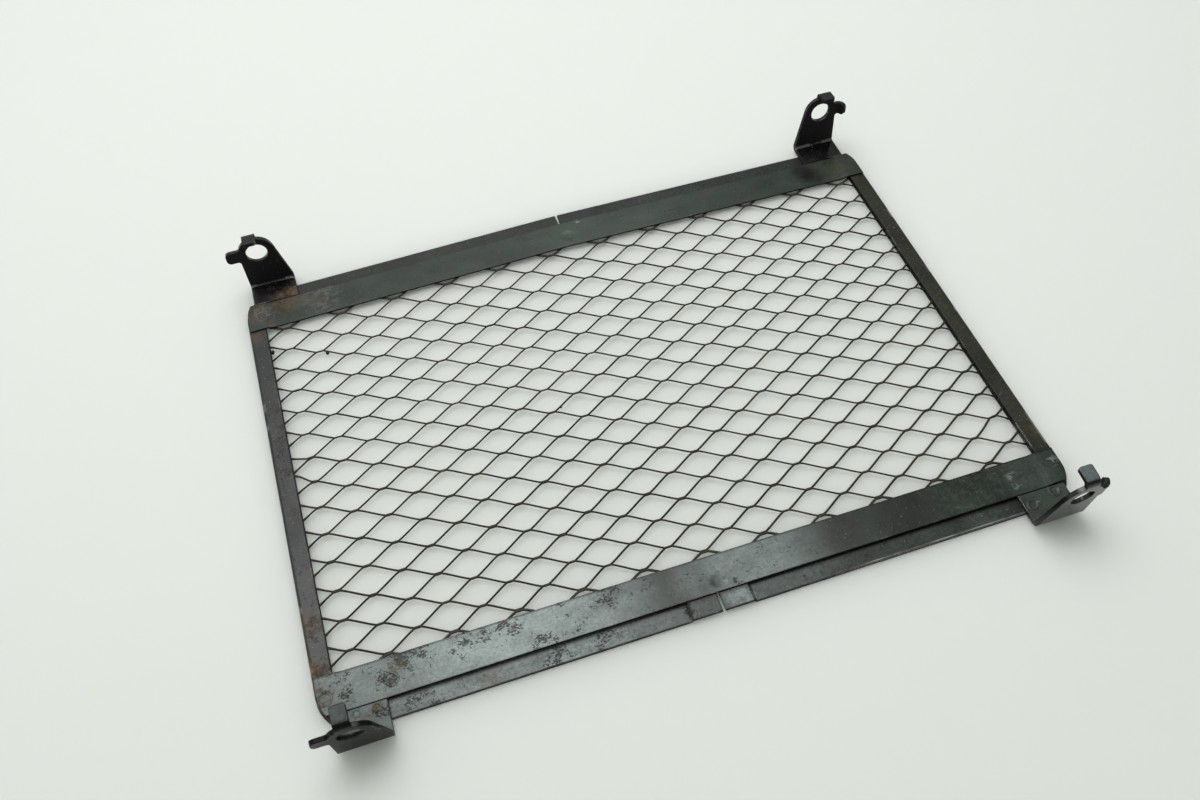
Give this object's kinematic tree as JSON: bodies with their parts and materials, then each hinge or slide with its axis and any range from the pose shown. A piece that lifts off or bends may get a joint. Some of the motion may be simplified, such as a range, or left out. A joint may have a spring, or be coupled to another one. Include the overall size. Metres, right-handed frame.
{
  "type": "motorcycle radiator guard",
  "caption": "Flat guard of expanded steel mesh clamped in a folded sheet frame, with standing bolt tabs at its corners that fix it over a radiator.",
  "frame": {"origin": "middle of the guard, on the surface that its front face lies on", "axes": "+X along the guard's length, +Y towards its bowed top side, +Z out of its back, the way the tabs stand"},
  "size_m": [0.3011, 0.232, 0.0321],
  "materials": {
    "mesh_paint": "satin black paint, dusty",
    "frame_paint": "satin black paint, scuffed, with a little rust",
    "top_paint": "satin black paint, scuffed",
    "bottom_paint": "satin black paint, scuffed and faded",
    "bracket_paint": "gloss black paint, chipped at the edges"
  },
  "bodies": {
    "root": {"mesh_panel": "mesh_paint", "frame_left": "frame_paint", "frame_right": "frame_paint", "strip_top": "top_paint", "strip_bottom": "bottom_paint", "bracket_top_left": "bracket_paint", "bracket_top_right": "bracket_paint", "bracket_bottom_left": "bracket_paint", "bracket_bottom_right": "bracket_paint"}
  },
  "joints": []
}
